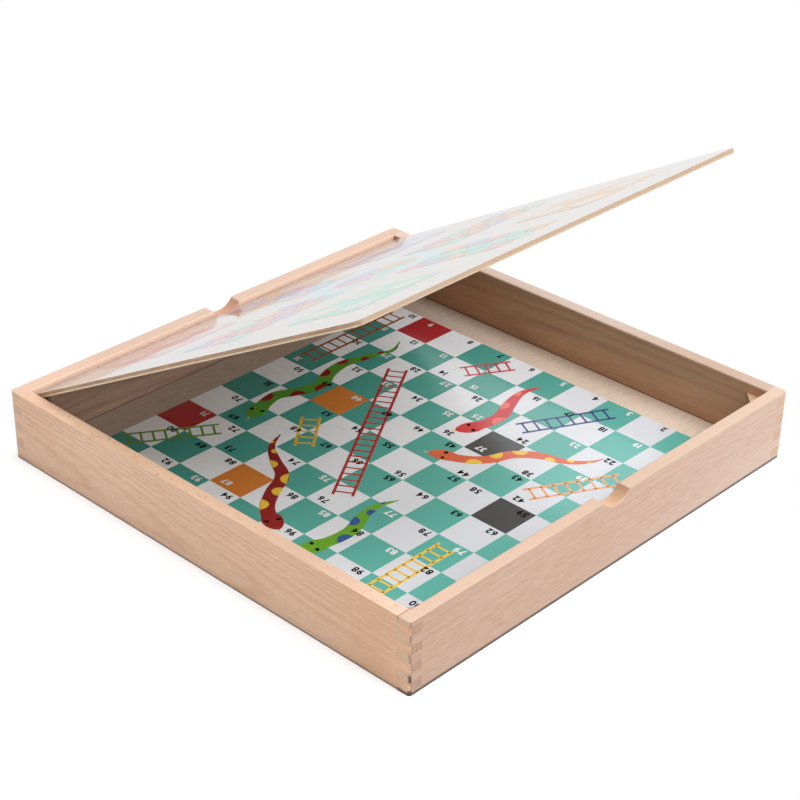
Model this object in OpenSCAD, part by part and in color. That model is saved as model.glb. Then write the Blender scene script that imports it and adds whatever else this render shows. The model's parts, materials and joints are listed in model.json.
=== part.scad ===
// Square wooden game tray with a printed floor and a loose printed lid.
// Four beech walls meet in finger joints and hold a thin floor panel in stopped grooves.
// Triangular posts in the corners carry the lid just below the rim, and a round notch in
// each side wall lets a finger reach the lid's edge. The lid is drawn tilted up about its
// left edge.
// Millimetres, +Z up. The origin is at the middle of the tray, on the surface it stands on.

/* [Tray] */
// Outer side of the square tray
tray_side = 400; // [280:5:600]
// Height of the walls
tray_h = 56; // [44:0.5:90]
// Thickness of the walls
wall_t = 10.5; // [9:0.5:16]
// Rounding of the long edges of the walls
edge_r = 1.2; // [0.4:0.1:2]
// Rounding of the upright outer corners
corner_r = 2.2; // [0.6:0.1:4]

/* [Finger joints] */
// Finger pitches over the height of a corner, with half a finger at the top and bottom
finger_count = 8; // [4:1:12]
// Play between neighbouring fingers
finger_play = 0.06; // [0.02:0.02:0.2]

/* [Finger notches] */
// Width of a notch at the rim
notch_w = 27; // [18:1:45]
// Depth of a notch below the rim
notch_depth = 7; // [4:0.5:12]
// Rounding where a notch meets the faces of its wall
notch_edge_r = 0.8; // [0.3:0.1:1.5]

/* [Floor] */
// Thickness of the floor panel
floor_t = 4; // [3:0.5:6]
// Height of the floor panel's underside above the table
floor_rise = 6; // [3:0.5:12]
// Depth of the groove that holds the floor panel
groove_depth = 5; // [3:0.5:7]
// Play of the floor panel in its groove
groove_play = 0.2; // [0.05:0.05:0.5]

/* [Corner posts] */
// Length of a post along each of its two walls
post_leg = 17; // [12:1:24]

/* [Prints] */
// Thickness of a printed sheet
film_t = 0.2; // [0.1:0.05:0.5]
// Bare border of the floor between the printed squares and the walls
print_margin = 26.5; // [18:0.5:60]
// Offset of the floor's printed sheet towards the right wall
print_shift_x = 3; // [-5:0.5:5]
// Offset of the floor's printed sheet towards the back wall
print_shift_y = -1.5; // [-5:0.5:5]

/* [Lid] */
// Thickness of the lid's wooden panel
lid_panel_t = 3.2; // [2:0.2:5]
// Gap between the lid and the walls
lid_gap = 1.25; // [1:0.25:5]
// Rounding of the lid's corners, seen from above
lid_corner_r = 6; // [2:1:25]
// Depth of the posts' tops, where the lid rests, below the rim
lid_drop = 7.5; // [5:0.5:12]
// Gap between the closed lid and the posts
lid_rest_gap = 0.2; // [0.1:0.05:0.5]
// Angle by which the lid is tilted up
lid_tilt = 28.9; // [0:0.1:85]

/* [Hidden] */
$fn = 64;
// Length by which a cutter runs past the face that it cuts
past = 1;
tray_half = tray_side / 2;
inner_half = tray_half - wall_t;
inner_side = 2 * inner_half;
finger_h = tray_h / finger_count;
// Radius of the arc with a chord of notch_w and a rise of notch_depth
notch_r = (pow(notch_w / 2, 2) + pow(notch_depth, 2)) / (2 * notch_depth);
floor_top = floor_rise + floor_t;
post_top = tray_h - lid_drop;
print_side = inner_side - 2 * print_margin;
lid_side = inner_side - 2 * lid_gap;
lid_t = lid_panel_t + 2 * film_t;
// Line that the lid tilts about: the upper corner of its left edge
lid_axis_x = lid_gap - inner_half;
lid_axis_z = post_top + lid_rest_gap + lid_t;
beech = "#e0b995";
birch = "#dcc3a2";
white_film = "#f2f1ec";
cream_film = "#e9dcc6";

// Lowest and highest point of finger i, counted from the bottom
function finger_bottom(i) = i == 0 ? 0 : (i - 0.5) * finger_h;
function finger_top(i) = i == finger_count ? tray_h : (i + 0.5) * finger_h;

// Flat rectangle round the origin, with round corners
module rounded_rect(w, h, r) {
    square([w - 2 * r, h], center = true);
    square([w, h - 2 * r], center = true);
    for (x = [-1, 1], y = [-1, 1])
        translate([x * (w / 2 - r), y * (h / 2 - r)]) circle(r);
}

// Block as large as the whole tray, rounded along all its outer edges
module tray_block() {
    intersection() {
        linear_extrude(tray_h) rounded_rect(tray_side, tray_side, corner_r);
        for (turn = [0, 90])
            rotate([90, 0, turn])
                translate([0, tray_h / 2, -tray_half])
                    linear_extrude(tray_side) rounded_rect(tray_side, tray_h, edge_r);
    }
}

// Room that the floor panel takes up in the walls
module floor_groove() {
    reach = inner_half + groove_depth;
    translate([-reach, -reach, floor_rise])
        cube([2 * reach, 2 * reach, floor_t + groove_play]);
}

// What rounds the inner top edge of the front wall, from corner to corner
module inner_edge_round() {
    translate([-inner_half, -inner_half, tray_h])
        rotate([90, 0, 90])
            linear_extrude(inner_side)
                difference() {
                    translate([-edge_r, -edge_r]) square(edge_r + past);
                    translate([-edge_r, -edge_r]) circle(edge_r);
                }
}

// Sockets at both ends of the front wall for the fingers of the side walls
module front_sockets() {
    for (side = [0, 1], i = [0 : 2 : finger_count])
        mirror([side, 0, 0])
            translate([inner_half - finger_play, -tray_half - past,
                       finger_bottom(i) - finger_play])
                cube([wall_t + finger_play + past, wall_t + 2 * past,
                      finger_top(i) - finger_bottom(i) + 2 * finger_play]);
}

// Sockets at both ends of the right wall for the fingers of the front and back walls
module side_sockets() {
    for (end = [0, 1], i = [1 : 2 : finger_count])
        mirror([0, end, 0])
            translate([inner_half - past, -tray_half - past, finger_bottom(i)])
                cube([wall_t + 2 * past, wall_t + finger_play + past,
                      finger_top(i) - finger_bottom(i)]);
}

// Round cut in the rim of the right wall, widened softly towards both faces
module notch_cut() {
    flare_start = wall_t / 2 - notch_edge_r;
    translate([inner_half + wall_t / 2, 0, tray_h - notch_depth + notch_r])
        rotate([0, 90, 0])
            rotate_extrude() {
                translate([0, -wall_t / 2 - past]) square([notch_r, wall_t + 2 * past]);
                for (face = [0, 1])
                    mirror([0, face])
                        difference() {
                            translate([notch_r - notch_edge_r, flare_start])
                                square([2 * notch_edge_r, notch_edge_r + past]);
                            translate([notch_r + notch_edge_r, flare_start])
                                circle(notch_edge_r);
                        }
            }
}

// Front wall in its place; the back wall is its mirror image
module cross_wall() {
    difference() {
        intersection() {
            tray_block();
            translate([-tray_half, -tray_half, 0]) cube([tray_side, wall_t, tray_h]);
        }
        front_sockets();
        inner_edge_round();
        floor_groove();
    }
}

// Right wall in its place; the left wall is its mirror image
module side_wall() {
    difference() {
        intersection() {
            tray_block();
            translate([inner_half, -tray_half, 0]) cube([wall_t, tray_side, tray_h]);
        }
        side_sockets();
        rotate([0, 0, 90]) inner_edge_round();
        notch_cut();
        floor_groove();
    }
}

// Triangular post in the corner on side x (-1 left, 1 right) and end y (-1 front, 1 back)
module corner_post(x, y) {
    translate([x * inner_half, y * inner_half, floor_top])
        linear_extrude(post_top - floor_top)
            polygon([[0, 0], [-x * post_leg, 0], [0, -y * post_leg]]);
}

// Sheet with the lid's outline, tilted up; z counts from the lid's underside
module lid_sheet(z, t) {
    translate([lid_axis_x, 0, lid_axis_z])
        rotate([0, -lid_tilt, 0])
            translate([lid_side / 2, 0, z - lid_t])
                linear_extrude(t) rounded_rect(lid_side, lid_side, lid_corner_r);
}

module front_wall() { color(beech) cross_wall(); }

module right_wall() { color(beech) side_wall(); }

module back_wall() { color(beech) mirror([0, 1, 0]) cross_wall(); }

module left_wall() { color(beech) mirror([1, 0, 0]) side_wall(); }

module post_front_left() { color(beech) corner_post(-1, -1); }

module post_front_right() { color(beech) corner_post(1, -1); }

module post_back_right() { color(beech) corner_post(1, 1); }

module post_back_left() { color(beech) corner_post(-1, 1); }

// Floor panel, reaching into the grooves of all four walls
module floor_panel() {
    reach = inner_half + groove_depth - groove_play;
    color(birch)
        translate([-reach, -reach, floor_rise]) cube([2 * reach, 2 * reach, floor_t]);
}

// Printed sheet of squares on the floor panel
module floor_print() {
    color(white_film)
        translate([print_shift_x - print_side / 2, print_shift_y - print_side / 2, floor_top])
            cube([print_side, print_side, film_t]);
}

module lid_panel() { color(birch) lid_sheet(film_t, lid_panel_t); }

module lid_print() { color(white_film) lid_sheet(lid_t - film_t, film_t); }

module lid_backing() { color(cream_film) lid_sheet(0, film_t); }

front_wall();
right_wall();
back_wall();
left_wall();
post_front_left();
post_front_right();
post_back_right();
post_back_left();
floor_panel();
floor_print();
lid_panel();
lid_print();
lid_backing();
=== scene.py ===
"""Looks of a square wooden game tray with a printed floor and a loose printed lid.

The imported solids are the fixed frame. This script gives the walls, posts and panels their wood, lays
the two printed sheets with their squares, ladders, snakes and numbers, and sets up the studio.
Lengths are metres in the frame of the solids: +Z up, the origin under the middle of the tray.
"""

from __future__ import annotations

import json
import logging
import math
from contextlib import contextmanager
from dataclasses import dataclass
from enum import Enum
from functools import cached_property, reduce
from typing import Any, Iterable, Iterator

import bpy
from mathutils import Euler, Matrix, Vector

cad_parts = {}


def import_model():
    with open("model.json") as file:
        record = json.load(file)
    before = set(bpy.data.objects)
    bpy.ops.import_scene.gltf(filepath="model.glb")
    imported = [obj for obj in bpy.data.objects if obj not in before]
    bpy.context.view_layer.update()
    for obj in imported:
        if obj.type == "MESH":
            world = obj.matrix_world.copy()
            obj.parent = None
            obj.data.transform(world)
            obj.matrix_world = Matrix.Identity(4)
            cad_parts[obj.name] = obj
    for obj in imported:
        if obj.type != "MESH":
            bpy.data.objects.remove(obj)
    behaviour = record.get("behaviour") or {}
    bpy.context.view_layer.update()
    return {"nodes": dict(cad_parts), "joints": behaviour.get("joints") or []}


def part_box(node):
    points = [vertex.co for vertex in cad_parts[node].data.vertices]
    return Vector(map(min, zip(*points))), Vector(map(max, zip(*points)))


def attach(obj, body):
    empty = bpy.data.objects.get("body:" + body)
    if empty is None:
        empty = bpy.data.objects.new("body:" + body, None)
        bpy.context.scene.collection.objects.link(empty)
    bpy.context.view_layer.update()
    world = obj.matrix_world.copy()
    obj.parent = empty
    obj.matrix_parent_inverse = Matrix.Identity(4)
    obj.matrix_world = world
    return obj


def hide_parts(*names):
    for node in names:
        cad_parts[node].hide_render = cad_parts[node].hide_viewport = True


LOG = logging.getLogger("game_tray")
MM = 0.001
TRAY_BODY = "tray"
LID_BODY = "lid"
ORIGIN = (0.0, 0.0, 0.0)
QUARTER_TURN = math.pi / 2

Piece = bpy.types.Object
Socket = bpy.types.NodeSocket
Paint = str
Rgba = tuple[float, float, float, float]
Triple = tuple[float, float, float]
Spot = tuple[float, float]


def tone(code: Paint) -> Rgba:
    """Turns a colour as a paint chart gives it into the linear colour that shaders take.

    Args:
        code: Six hexadecimal digits, red first.

    Returns:
        Linear red, green, blue and an alpha of 1.
    """
    shares = [int(code[i:i + 2], 16) / 255 for i in (0, 2, 4)]
    linear = [s / 12.92 if s <= 0.04045 else ((s + 0.055) / 1.055) ** 2.4 for s in shares]
    return (linear[0], linear[1], linear[2], 1.0)


def around(middle: float, reach: float) -> Spot:
    """Returns the two ends of a range."""
    return (middle - reach, middle + reach)


@dataclass(frozen=True)
class Figure:
    """Soft noise: its grains per metre on each axis, its detail, and the values that it fades between."""

    grains: Triple
    detail: float = 2.0
    fade: Spot = (0.3, 0.7)


class Graph:
    """Nodes of one material or of the world, with short names for what the finishes use."""

    def __init__(self, owner: bpy.types.Material | bpy.types.World) -> None:
        """Opens the nodes of a material or of the world."""
        owner.use_nodes = True
        self.owner = owner
        self.tree = owner.node_tree

    @cached_property
    def coordinates(self) -> Any:
        """Outputs that say where a surface is and which way it faces."""
        return self.node("TexCoord", {})

    @property
    def place(self) -> Socket:
        """Place in the frame of the solids."""
        return self.coordinates["Object"]

    @property
    def normal(self) -> Socket:
        """Direction that the surface faces."""
        return self.coordinates["Normal"]

    def feed(self, socket: Socket, value: Any) -> None:
        """Links a socket to another one, or sets it to a value or to the colour of a paint code."""
        if isinstance(value, Socket):
            self.tree.links.new(value, socket)
        else:
            socket.default_value = tone(value) if isinstance(value, str) else value

    def node(self, kind: str, inputs: dict[Any, Any], **settings: Any) -> Any:
        """Adds a node.

        Args:
            kind: Blender's name of the node type, after the words that all shader nodes share.
            inputs: Values, paint codes or sockets by the name or number of the input.
            **settings: Other properties of the node.

        Returns:
            The outputs of the new node.
        """
        made = self.tree.nodes.new(f"ShaderNode{kind}")
        for key, value in settings.items():
            setattr(made, key, value)
        for key, value in inputs.items():
            self.feed(made.inputs[key], value)
        return made.outputs

    def math(self, operation: str, *values: Any) -> Socket:
        """Adds an arithmetic step and returns its result."""
        return self.node("Math", dict(enumerate(values)), operation=operation)[0]

    def chain(self, operation: str, *values: Any) -> Socket:
        """Applies one arithmetic step to all values, one after another."""
        return reduce(lambda first, second: self.math(operation, first, second), values)

    def product(self, *values: Any) -> Socket:
        """Multiplies values."""
        return self.chain("MULTIPLY", *values)

    def remap(self, value: Any, low: float, high: float, start: float = 0.0, end: float = 1.0) -> Socket:
        """Fades smoothly from start to end as a value goes from low to high.

        Args:
            value: Socket that is read.
            low: Value at which the fade starts.
            high: Value at which the fade ends.
            start: Result at low and before it.
            end: Result at high and after it.

        Returns:
            The faded value.
        """
        inputs = {"Value": value, "From Min": low, "From Max": high, "To Min": start, "To Max": end}
        return self.node("MapRange", inputs, interpolation_type="SMOOTHSTEP")[0]

    def near(self, value: Any, reach: float) -> Socket:
        """Returns 1 where a value is close to 0, fading to 0 at the given reach on both sides."""
        return self.remap(self.math("ABSOLUTE", value), 0.5 * reach, reach, 1.0, 0.0)

    def split(self, vector: Socket) -> Any:
        """Returns the X, Y and Z of a vector."""
        return self.node("SeparateXYZ", {0: vector})

    def turned(self, vector: Socket, turn: Triple) -> Socket:
        """Returns a vector turned about the origin."""
        return self.node("Mapping", {"Vector": vector, "Rotation": turn})[0]

    def seen_from(self, vector: Socket, place: Triple, turn: Triple) -> Socket:
        """Returns coordinates as they count from a place with turned axes."""
        inputs = {"Vector": vector, "Location": place, "Rotation": turn}
        return self.node("Mapping", inputs, vector_type="TEXTURE")[0]

    def facing(self, direction: Triple) -> Socket:
        """Returns 1 where the surface faces a direction straight, and less elsewhere."""
        return self.node("VectorMath", {0: self.normal, 1: direction}, operation="DOT_PRODUCT")[1]

    def noise(self, vector: Socket, figure: Figure) -> Any:
        """Adds soft noise and returns its value and its colour."""
        spread = self.node("Mapping", {"Vector": vector, "Scale": figure.grains})[0]
        return self.node("TexNoise", {"Vector": spread, "Scale": 1.0, "Detail": figure.detail})

    def faded(self, vector: Socket, figure: Figure, start: float = 0.0, end: float = 1.0) -> Socket:
        """Adds soft noise that fades from start to end."""
        return self.remap(self.noise(vector, figure)[0], *figure.fade, start, end)

    def mixed(self, share: Any, first: Any, second: Any) -> Socket:
        """Mixes two colours, which are inputs 6 and 7 of the node, and returns the result."""
        return self.node("Mix", {0: share, 6: first, 7: second}, data_type="RGBA")[2]

    def seen(self) -> Socket:
        """Returns 1 on rays that show a surface, mirrored or through glass too, and 0 on rays that light."""
        path = self.node("LightPath", {})
        return self.chain("MAXIMUM", path["Is Camera Ray"], path["Is Glossy Ray"],
                          path["Is Transmission Ray"])

    def bump(self, height: Any, depth: float, strength: float) -> None:
        """Lets a height shape the shader's normal, up to the given depth in metres."""
        inputs = {"Height": height, "Distance": depth, "Strength": strength}
        self.surface(Normal=self.node("Bump", inputs)[0])

    def surface(self, **values: Any) -> bpy.types.Material:
        """Sets sockets of the shader, named with _ for each space.

        Args:
            **values: Values or sockets for the shader's inputs.

        Returns:
            The material.
        """
        shader = self.tree.nodes["Principled BSDF"]
        for key, value in values.items():
            self.feed(shader.inputs[key.replace("_", " ")], value)
        return self.owner


class Grain(Enum):
    """Direction of a board's grain, as the turn that brings it onto X."""

    ALONG_X = (0.0, 0.0, 0.0)
    ALONG_Y = (0.0, 0.0, -QUARTER_TURN)
    ALONG_Z = (0.0, QUARTER_TURN, 0.0)


@dataclass(frozen=True)
class JointMarks:
    """Glue lines, an open seam, handling marks, a painted contact shadow at the foot and painted shade along
    the inner floor line of one wall.
    """

    along: int
    near_end: int
    sockets: int
    shoulder: float
    corner: float
    finger: float
    seam_from: float
    floor_top: float
    # Height and strength of the painted contact shadow at the wall's foot
    foot: float
    foot_share: float
    line: float = 0.22 * MM
    seam: float = 0.7 * MM
    edge_reach: float = 2.4 * MM
    nicks: tuple[Spot, ...] = ((12.6 * MM, 3.4 * MM), (2.6 * MM, 2.2 * MM))
    floor_line: float = 1.4 * MM
    glue_share: float = 0.3
    wear_share: float = 0.5
    floor_share: float = 0.6
    dirt_share: float = 0.9
    glue: Paint = "a87f63"
    wear: Paint = "8d5a3d"
    # Dark colour of the real nicks and the open seam, also used for the painted crease shade at the floor
    # line
    dirt: Paint = "4c1c0c"
    # Colour of the painted contact shadow at the wall's foot
    shade: Paint = "2e1408"

    RAGGED = Figure((900.0, 900.0, 260.0))
    PATCHES = Figure((60.0, 60.0, 130.0), fade=(0.35, 0.6))
    WORN_EDGE = (0.8, 1.4)
    CHIPPED_EDGE = (1.0, 1.4)
    FOOT_CORE = 0.3

    def paint(self, graph: Graph, colour: Socket) -> Socket:
        """Draws the marks over a wall's wood colour, with a painted contact shadow at the foot and painted
        shade along the inner floor line.

        Args:
            graph: Material that the marks belong to.
            colour: Colour of the bare wood.

        Returns:
            The colour with the marks.
        """
        axes = graph.split(graph.place)
        length, depth, height = axes[self.along], axes[1 - self.along], axes[2]
        from_middle, from_side = graph.math("ABSOLUTE", length), graph.math("ABSOLUTE", depth)
        past_shoulder = graph.math("SUBTRACT", from_middle, self.shoulder)
        comb = graph.math("COSINE", graph.product(height, math.pi / self.finger))
        at_socket = graph.math("GREATER_THAN", graph.product(comb, self.sockets), 0.0)
        shoulder = graph.product(graph.near(past_shoulder, self.line), at_socket)
        step = graph.near(comb, self.line * math.pi / self.finger)
        step = graph.product(step, graph.math("GREATER_THAN", past_shoulder, 0.0))
        at_near_end = graph.math("GREATER_THAN", graph.product(length, self.near_end), 0.0)
        corner = graph.math("SUBTRACT", 2 * self.corner, graph.math("ADD", from_middle, from_side))
        corner = graph.math("MULTIPLY_ADD", graph.noise(graph.place, self.RAGGED)[0], self.edge_reach, corner)
        worn, chipped = (graph.remap(corner, low * self.edge_reach, high * self.edge_reach, 1.0, 0.0)
                         for low, high in (self.WORN_EDGE, self.CHIPPED_EDGE))
        nicked = graph.chain("MAXIMUM", *[
            graph.near(graph.math("SUBTRACT", height, middle), reach) for middle, reach in self.nicks])
        inside = graph.math("LESS_THAN", from_side, self.shoulder + self.line)
        # Painted shade in the crease where the wall's inner face meets the floor panel
        floor_crease_shade = graph.near(graph.math("SUBTRACT", height, self.floor_top), self.floor_line)
        open_seam = graph.product(graph.near(past_shoulder, self.seam),
                                  graph.math("GREATER_THAN", height, self.seam_from), at_near_end)
        dirty = graph.math("MAXIMUM", graph.product(nicked, chipped, at_near_end), open_seam)
        layers = (
            (graph.product(graph.math("MAXIMUM", shoulder, step), self.glue_share), self.glue),
            (graph.product(worn, graph.faded(graph.place, self.PATCHES), self.wear_share), self.wear),
            # Painted contact shadow: the wood darkens toward the foot, where the wall meets the floor
            (graph.remap(height, self.FOOT_CORE * self.foot, self.foot, self.foot_share, 0.0), self.shade),
            (graph.product(floor_crease_shade, inside, self.floor_share), self.dirt),
            (graph.product(dirty, self.dirt_share), self.dirt),
        )
        for share, paint in layers:
            colour = graph.mixed(share, colour, paint)
        return colour


@dataclass(frozen=True)
class WoodFinish:
    """Sanded and lacquered wood with growth rings, fibres, rays and end grain, and painted light and shade on
    its rim, its inner lip and along its length.
    """

    name: str
    grain: Grain
    pith: Triple
    pale: Paint = "ffdbbd"
    dark: Paint = "e4b28d"
    end: Paint = "a98b73"
    ray: Paint = "b0714f"
    end_share: Spot = (0.55, 1.0)
    lean: Triple = (0.0, 0.012, 0.016)
    ring: float = 3.0 * MM
    rings_share: float = 0.34
    # Painted light and shade along the board, and painted shade toward its ends
    drift: float = 0.0
    end_shade: float = 0.0
    # Painted light and shade of the top face: its own tone, darker toward the end, with a painted shadow at
    # the start
    rim: Paint | None = None
    rim_end: Paint | None = None
    rim_start: Paint | None = None
    rim_run: Spot = (-0.04, 0.15)
    # Painted light on the upper inner face above the lid
    lip: Paint | None = None
    notch: Paint | None = None
    shade_at_left: float = 0.0
    speckle: float = 0.0
    relief: float = 0.25
    roughness: float = 0.46
    coat: float = 0.1
    marks: JointMarks | None = None

    NOISE_MIDDLE = (0.5, 0.5, 0.5)
    SWAY = Figure((5.0, 22.0, 22.0), 3.0)
    SWAY_REACH = 4 * MM
    FIBRE = Figure((80.0, 1000.0, 1000.0))
    FIBRE_SHARE = 0.34
    BLOTCH = Figure((4.0, 16.0, 16.0))
    BLOTCH_SHARE = 0.26
    LINES = Figure((14.0, 1000.0, 1000.0), 4.0, (0.46, 0.7))
    LINES_SHARE = 0.36
    RAYS = Figure((150.0, 1300.0, 1300.0), 0.0, (0.6, 0.74))
    RAYS_SHARE = 0.14
    SPECKS = Figure((340.0, 340.0, 340.0), 0.0, (0.67, 0.76))
    PORES = Figure((40.0, 1500.0, 110.0), fade=(0.35, 0.65))
    PORE_DEPTH = 0.05 * MM
    RING_EDGE = 2.5
    # Width of one ring of the wave texture at a scale of 1
    WAVE_PERIOD = math.pi / 10
    END_RUN = (0.08, 0.19)
    END_FACING = (0.75, 0.95)
    LEFT_RUN = (-0.17, -0.02)
    RIM_SLOPE = (0.15, 0.5)
    RIM_START_RUN = (-0.18, -0.13)
    RIM_GRAIN = 0.2
    LIP_RUN = (45.0 * MM, 51.0 * MM)
    LIP_SIDE = (1.0, 0.0, 0.0)
    LIP_FACING = (0.3, 0.8)
    LIP_SHARE = 0.85
    NOTCH_HALF = 14 * MM
    NOTCH_TOP = 55.2 * MM
    NOTCH_SLOPE = (0.2, 0.4)
    NOTCH_SHARE = 0.9
    GLOSS_SWING = 0.06
    COAT_BLUR = 0.25

    def rings(self, graph: Graph, plank: Socket) -> Socket:
        """Draws the growth rings.

        Args:
            graph: Material that the rings belong to.
            plank: Coordinates with the grain along X.

        Returns:
            How dark the rings are, from 0 to 1.
        """
        sway = graph.node("VectorMath", {0: graph.noise(plank, self.SWAY)[1], 1: self.NOISE_MIDDLE},
                          operation="SUBTRACT")[0]
        swayed = graph.node("VectorMath", {0: sway, 1: (self.SWAY_REACH,) * 3, 2: plank},
                            operation="MULTIPLY_ADD")[0]
        trunk = graph.seen_from(swayed, self.pith, self.lean)
        inputs = {"Vector": trunk, "Scale": self.WAVE_PERIOD / self.ring, "Distortion": 0.0}
        rings = graph.node("TexWave", inputs, wave_type="RINGS", rings_direction="X")[1]
        return graph.math("POWER", rings, self.RING_EDGE)

    def depth(self, graph: Graph, plank: Socket, along: Socket, fibre: Socket) -> Socket:
        """Adds up how dark the grain is, with painted light and shade that drifts along the board and painted
        shade toward its ends.

        Args:
            graph: Material that the grain belongs to.
            plank: Coordinates with the grain along X.
            along: Place along the board.
            fibre: Noise of the fibres.

        Returns:
            The share of the dark tone.
        """
        layers = (
            (self.rings(graph, plank), self.rings_share),
            (graph.remap(fibre, *self.FIBRE.fade), self.FIBRE_SHARE),
            (graph.faded(plank, self.BLOTCH), self.BLOTCH_SHARE),
            # Painted light and shade: the board grows steadily darker or lighter along its length
            (along, self.drift),
            (graph.faded(plank, self.LINES), self.LINES_SHARE),
        )
        depth: Any = 0.0
        for layer, share in layers:
            depth = graph.math("MULTIPLY_ADD", layer, share, depth)
        # Painted shade deepening toward the ends of the board
        toward_end = graph.remap(graph.math("ABSOLUTE", along), *self.END_RUN, 0.0, self.end_shade)
        return graph.math("ADD", depth, toward_end)

    def coloured(self, graph: Graph, along: Socket, depth: Socket, rays: Socket) -> Socket:
        """Colours the board's faces and notch, paints light and shade on its rim, painted light on its inner
        lip and painted shade at its left, and draws the rays.

        Args:
            graph: Material that the colour belongs to.
            along: Place along the board.
            depth: Share of the dark tone.
            rays: Where the rays show.

        Returns:
            The colour of the board without its end grain.
        """
        across, _, height = graph.split(graph.place)
        slope = graph.split(graph.normal)[2]
        upward = graph.remap(slope, *self.RIM_SLOPE)
        colour = graph.mixed(depth, self.pale, self.dark)
        if self.shade_at_left:
            shade = graph.remap(across, *self.LEFT_RUN, self.shade_at_left, 0.0)
            colour = graph.mixed(shade, colour, "000000")
        # Painted light: the upper inner face, where it faces +X, takes a lighter tone
        if self.lip:
            inward = graph.remap(graph.facing(self.LIP_SIDE), *self.LIP_FACING)
            lip = graph.product(graph.remap(height, *self.LIP_RUN), inward, self.LIP_SHARE)
            colour = graph.mixed(lip, colour, self.lip)
        # Painted light and shade on the top face, with a painted shadow at the start of the board and darker
        # toward its end
        if self.rim:
            rim = graph.mixed(graph.remap(along, *self.rim_run), self.rim, self.rim_end or self.rim)
            if self.rim_start:
                rim = graph.mixed(graph.remap(along, *self.RIM_START_RUN, 1.0, 0.0), rim, self.rim_start)
            rim = graph.mixed(graph.product(depth, self.RIM_GRAIN), rim, self.pale)
            colour = graph.mixed(upward, colour, rim)
        if self.notch:
            within = graph.math("LESS_THAN", graph.math("ABSOLUTE", along), self.NOTCH_HALF)
            below = graph.math("LESS_THAN", height, self.NOTCH_TOP)
            cut = graph.product(within, below, graph.remap(slope, *self.NOTCH_SLOPE), self.NOTCH_SHARE)
            colour = graph.mixed(cut, colour, self.notch)
        colour = graph.mixed(graph.product(rays, self.RAYS_SHARE), colour, self.ray)
        if self.speckle:
            dots = graph.product(graph.faded(graph.place, self.SPECKS), upward, self.speckle)
            colour = graph.mixed(dots, colour, self.ray)
        return colour

    def material(self) -> bpy.types.Material:
        """Builds the material.

        Returns:
            A material in the frame's coordinates, so that boards cut through one tree match up.
        """
        graph = Graph(bpy.data.materials.new(self.name))
        plank = graph.turned(graph.place, self.grain.value)
        along = graph.split(plank)[0]
        fibre = graph.noise(plank, self.FIBRE)[0]
        rays = graph.faded(plank, self.RAYS)
        colour = self.coloured(graph, along, self.depth(graph, plank, along, fibre), rays)
        facing = graph.split(graph.turned(graph.normal, self.grain.value))[0]
        at_end = graph.remap(graph.math("ABSOLUTE", facing), *self.END_FACING)
        pores = graph.faded(plank, self.PORES, *self.end_share)
        colour = graph.mixed(graph.product(at_end, pores), colour, self.end)
        if self.marks:
            colour = self.marks.paint(graph, colour)
        gloss = graph.remap(fibre, *self.FIBRE.fade, *around(self.roughness, self.GLOSS_SWING))
        graph.bump(graph.math("SUBTRACT", fibre, rays), self.PORE_DEPTH, self.relief)
        return graph.surface(Base_Color=colour, Roughness=gloss, Coat_Weight=self.coat,
                             Coat_Roughness=self.COAT_BLUR)


@dataclass(frozen=True)
class PlyFinish:
    """Edge of the lid's plywood, with a pale veneer under a darker core."""

    name: str
    hinge: Triple
    tilt: float
    underside: float
    veneer: float = 0.9 * MM
    veneer_edge: float = 0.15 * MM
    core: Paint = "c69f7c"
    core_streak: Paint = "a9805c"
    pale: Paint = "f0dcc3"
    free_edge: Paint = "8f7a66"
    free_edge_share: float = 0.92
    roughness: Spot = (0.5, 0.65)
    pore_depth: float = 0.05 * MM
    relief: float = 0.3

    STREAKS = Figure((60.0, 60.0, 1400.0), 3.0, (0.35, 0.7))
    GLOSS_FADE = (0.3, 0.7)
    EDGE_FACING = (0.4, 0.9)

    def material(self) -> bpy.types.Material:
        """Builds the material in the lid's own tilted coordinates.

        Returns:
            The material.
        """
        graph = Graph(bpy.data.materials.new(self.name))
        lid = graph.seen_from(graph.place, self.hinge, (0.0, -self.tilt, 0.0))
        streaks = graph.noise(lid, self.STREAKS)[0]
        colour = graph.mixed(graph.remap(streaks, *self.STREAKS.fade), self.core, self.core_streak)
        veneer_top = around(self.underside + self.veneer, self.veneer_edge)
        colour = graph.mixed(graph.remap(graph.split(lid)[2], *veneer_top, 1.0, 0.0), colour, self.pale)
        outward = graph.facing((math.cos(self.tilt), 0.0, math.sin(self.tilt)))
        at_free_edge = graph.remap(outward, *self.EDGE_FACING, 0.0, self.free_edge_share)
        colour = graph.mixed(at_free_edge, colour, self.free_edge)
        graph.bump(streaks, self.pore_depth, self.relief)
        return graph.surface(Base_Color=colour,
                             Roughness=graph.remap(streaks, *self.GLOSS_FADE, *self.roughness))


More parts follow.
